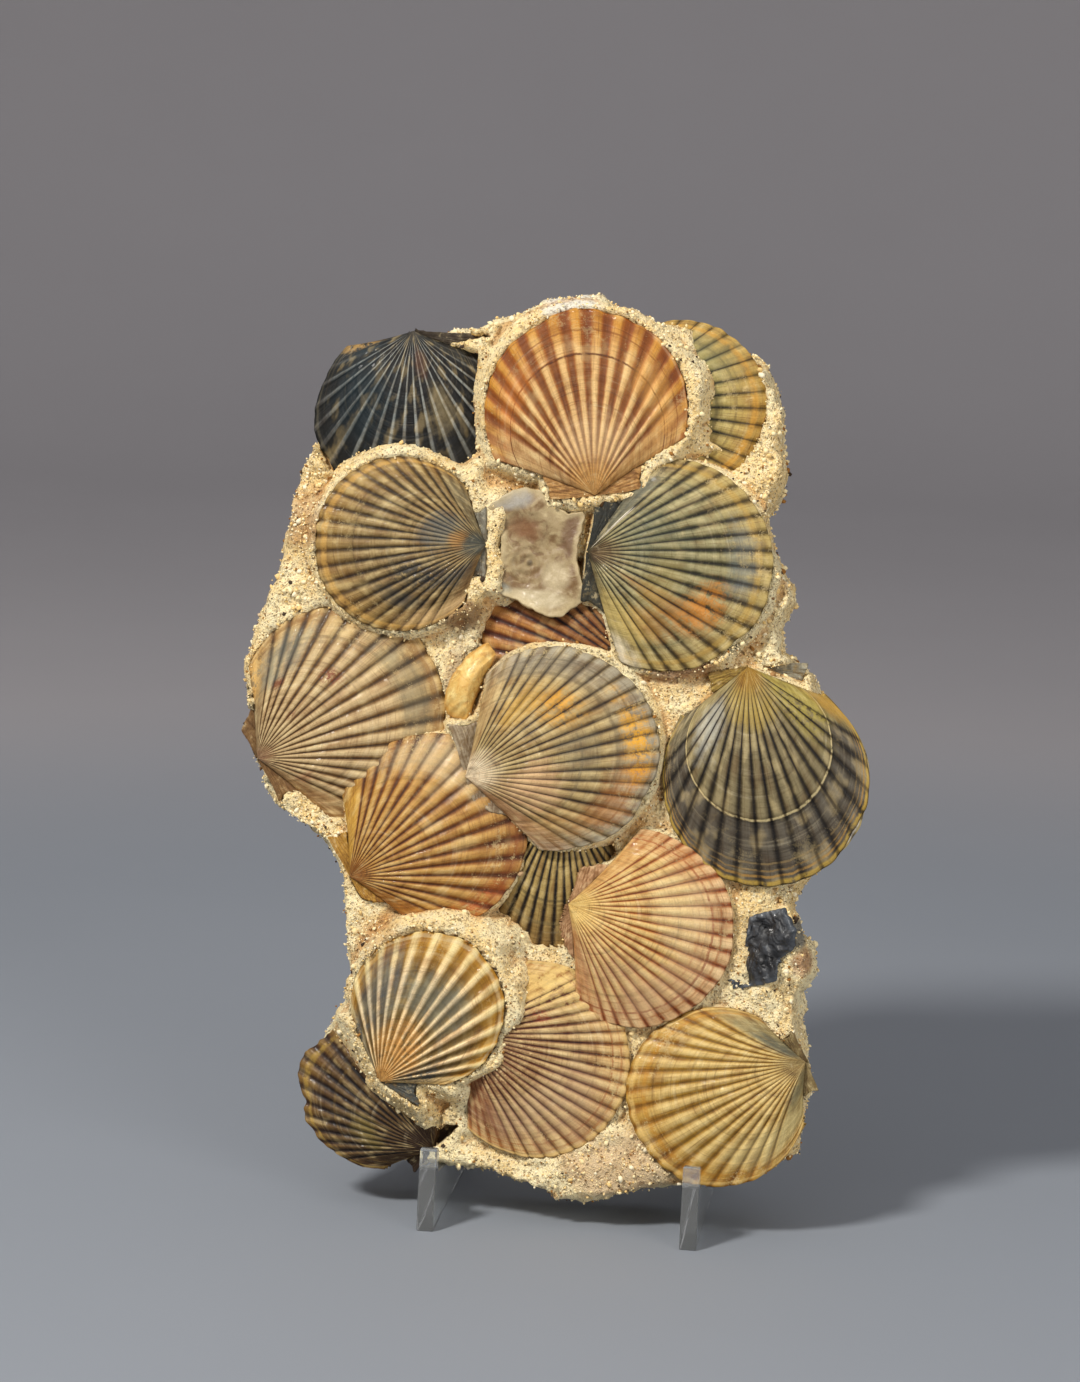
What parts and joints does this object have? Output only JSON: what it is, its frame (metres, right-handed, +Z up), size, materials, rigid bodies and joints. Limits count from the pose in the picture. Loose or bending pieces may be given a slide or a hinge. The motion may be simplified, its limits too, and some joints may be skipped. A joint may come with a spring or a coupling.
{
  "type": "fossil scallop plate",
  "caption": "Upright slab of sandy shell rock set with overlapping ribbed fossil scallop valves and broken shell, standing on a clear acrylic easel.",
  "frame": {"origin": "middle of the footprint's bounding box, on the floor under the easel", "axes": "+X to the right across the slab's face, +Y away from the viewer towards the easel's tail, +Z up"},
  "size_m": [0.2412, 0.1182, 0.3485],
  "materials": {
    "shell_rock": "rough, sandy, full of small pits and shell grains",
    "clear_acrylic": "clear, polished faces and edges",
    "scallop_orange_top": "ribbed fossil shell, satin",
    "scallop_small_bottom_left": "ribbed fossil shell, satin",
    "scallop_grey_gold_centre": "ribbed fossil shell, satin",
    "scallop_grey_green_right": "ribbed fossil shell, satin",
    "scallop_yellow_blue_left": "ribbed fossil shell, satin",
    "scallop_cream_lower_right": "ribbed fossil shell, satin",
    "scallop_ochre_left": "ribbed fossil shell, satin",
    "scallop_dark_stepped_right": "ribbed fossil shell, satin",
    "scallop_pink_bottom": "ribbed fossil shell, satin",
    "scallop_yellow_bottom_right": "ribbed fossil shell, satin",
    "scallop_grey_left": "ribbed fossil shell, satin",
    "scallop_dark_top_left": "ribbed fossil shell, satin",
    "scallop_striped_top_right": "ribbed fossil shell, satin",
    "scallop_brown_centre": "ribbed fossil shell, satin",
    "scallop_striped_centre": "ribbed fossil shell, satin",
    "scallop_brown_bottom_left": "ribbed fossil shell, satin",
    "scallop_grey_right_below": "ribbed fossil shell, satin",
    "oyster_fragment": "broken fossil shell, satin",
    "pale_shell_sliver": "broken fossil shell, satin",
    "dark_shell_fragment": "broken fossil shell, satin"
  },
  "bodies": {
    "root": {"rock_matrix": "shell_rock", "scallop_orange_top": "scallop_orange_top", "scallop_small_bottom_left": "scallop_small_bottom_left", "scallop_grey_gold_centre": "scallop_grey_gold_centre", "scallop_grey_green_right": "scallop_grey_green_right", "scallop_yellow_blue_left": "scallop_yellow_blue_left", "scallop_cream_lower_right": "scallop_cream_lower_right", "scallop_ochre_left": "scallop_ochre_left", "scallop_dark_stepped_right": "scallop_dark_stepped_right", "scallop_pink_bottom": "scallop_pink_bottom", "scallop_yellow_bottom_right": "scallop_yellow_bottom_right", "scallop_grey_left": "scallop_grey_left", "scallop_dark_top_left": "scallop_dark_top_left", "scallop_striped_top_right": "scallop_striped_top_right", "scallop_brown_centre": "scallop_brown_centre", "scallop_striped_centre": "scallop_striped_centre", "scallop_brown_bottom_left": "scallop_brown_bottom_left", "scallop_grey_right_below": "scallop_grey_right_below", "oyster_fragment": "oyster_fragment", "pale_shell_sliver": "pale_shell_sliver", "dark_shell_fragment": "dark_shell_fragment", "easel_leg_left": "clear_acrylic", "easel_leg_right": "clear_acrylic", "easel_bar_high": "clear_acrylic", "easel_bar_low": "clear_acrylic"}
  },
  "joints": []
}
